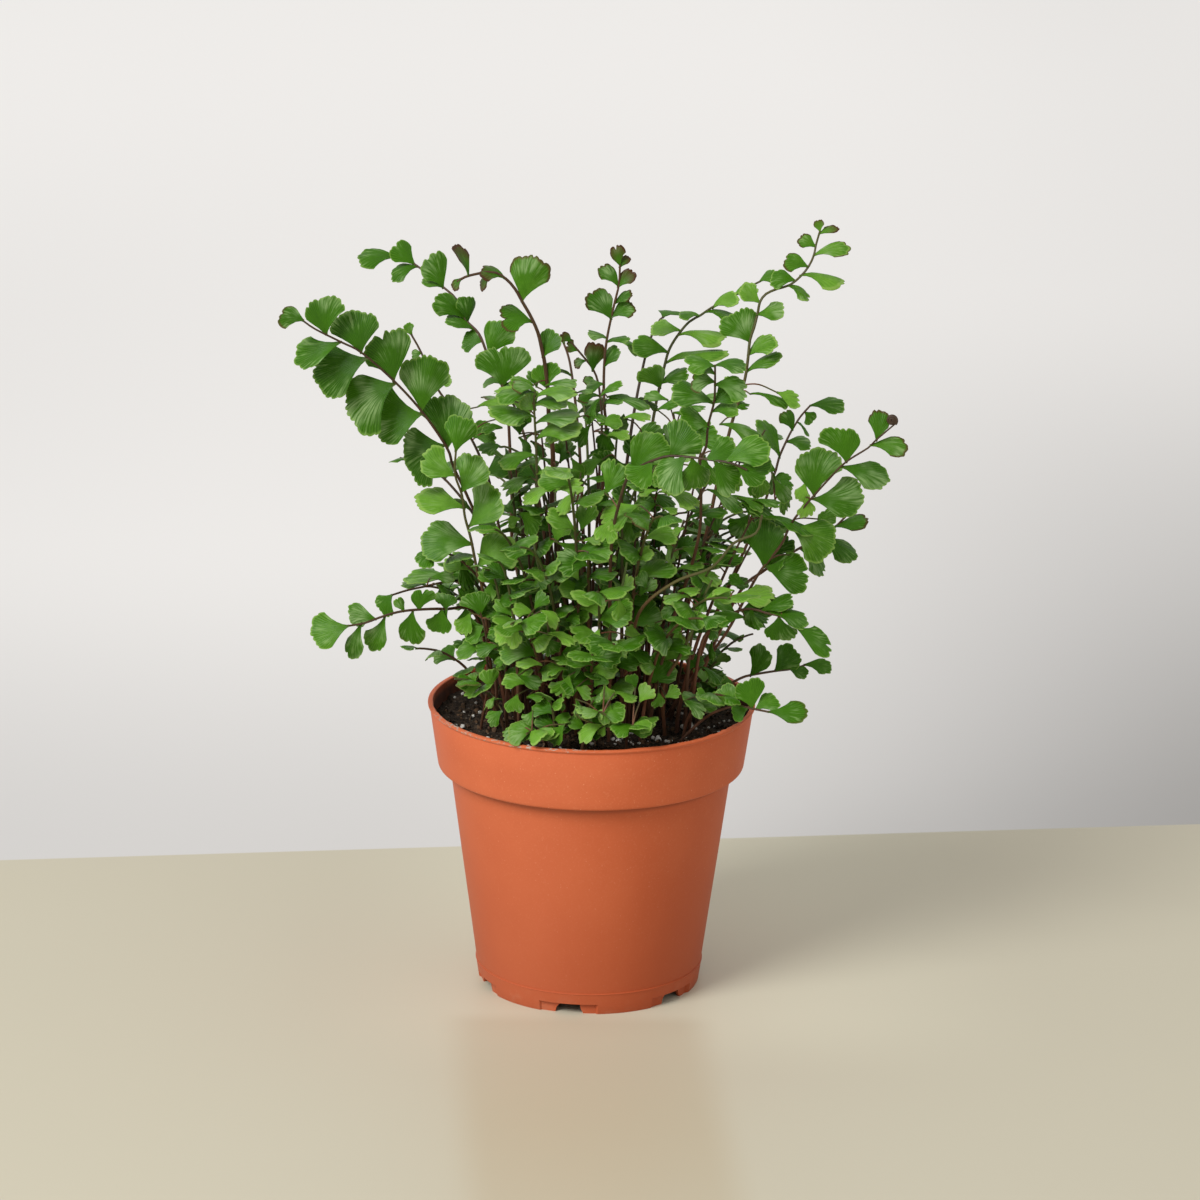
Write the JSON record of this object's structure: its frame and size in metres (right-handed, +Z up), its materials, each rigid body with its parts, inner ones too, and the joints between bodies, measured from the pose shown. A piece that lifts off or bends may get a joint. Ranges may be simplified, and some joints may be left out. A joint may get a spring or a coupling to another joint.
{
  "type": "potted mahogany fern",
  "caption": "Bushy mahogany fern with fan-shaped leaflets on thin dark stems, growing in a tapered orange plastic nursery pot.",
  "frame": {"origin": "centre of the bounding box at the surface the pot stands on, on the pot's axis to about 2 mm", "axes": "+Z up along the pot's axis, -Y towards the side the plant is seen from, +X to its right"},
  "size_m": [0.198, 0.1299, 0.2552],
  "materials": {
    "terracotta_plastic": "satin, fine specks",
    "potting_soil": "matt, moist",
    "fern_leaf": "soft gloss"
  },
  "bodies": {
    "root": {"frond_01_left_broad": "fern_leaf", "frond_02_left_front": "fern_leaf", "frond_03_left_high": "fern_leaf", "frond_04_left_thin": "fern_leaf", "frond_05_arching": "fern_leaf", "frond_06_level_tuft": "fern_leaf", "frond_07_middle_high": "fern_leaf", "frond_08_middle_curled": "fern_leaf", "frond_09_right_high_low": "fern_leaf", "frond_10_right_highest": "fern_leaf", "frond_11_right_middle": "fern_leaf", "frond_12_right_arch": "fern_leaf", "frond_13_right_behind": "fern_leaf", "frond_14_right_outer": "fern_leaf", "frond_15_right_inner": "fern_leaf", "frond_16_low_left": "fern_leaf", "frond_17_left_swept": "fern_leaf", "frond_18_left_hooked": "fern_leaf", "frond_19_low_right": "fern_leaf", "frond_20_right_swept": "fern_leaf", "frond_21_right_over_rim": "fern_leaf", "frond_22_front_tall": "fern_leaf", "frond_23_front_right_tall": "fern_leaf", "frond_24_front_left_tall": "fern_leaf", "frond_25_front_middle": "fern_leaf", "frond_26_front_left": "fern_leaf", "frond_27_front_right": "fern_leaf", "frond_28_side_left": "fern_leaf", "frond_29_side_right": "fern_leaf", "frond_30_back_right_tall": "fern_leaf", "frond_31_back_tall": "fern_leaf", "frond_32_back_left_tall": "fern_leaf", "frond_33_back_left": "fern_leaf", "frond_34_back_right": "fern_leaf", "frond_35_back_wide": "fern_leaf", "frond_36_back_left_wide": "fern_leaf", "frond_37_back_left_low": "fern_leaf", "frond_38_back_right_low": "fern_leaf", "frond_39_back_low": "fern_leaf", "frond_40_low_front": "fern_leaf", "frond_41_low_front_left": "fern_leaf", "frond_42_low_front_right": "fern_leaf", "frond_43_low_side_left": "fern_leaf", "frond_44_low_side_right": "fern_leaf", "frond_45_low_back_left": "fern_leaf", "frond_46_low_back_right": "fern_leaf", "frond_47_inner_left": "fern_leaf", "frond_48_inner_right": "fern_leaf", "pot": "terracotta_plastic", "soil": "potting_soil"}
  },
  "joints": []
}
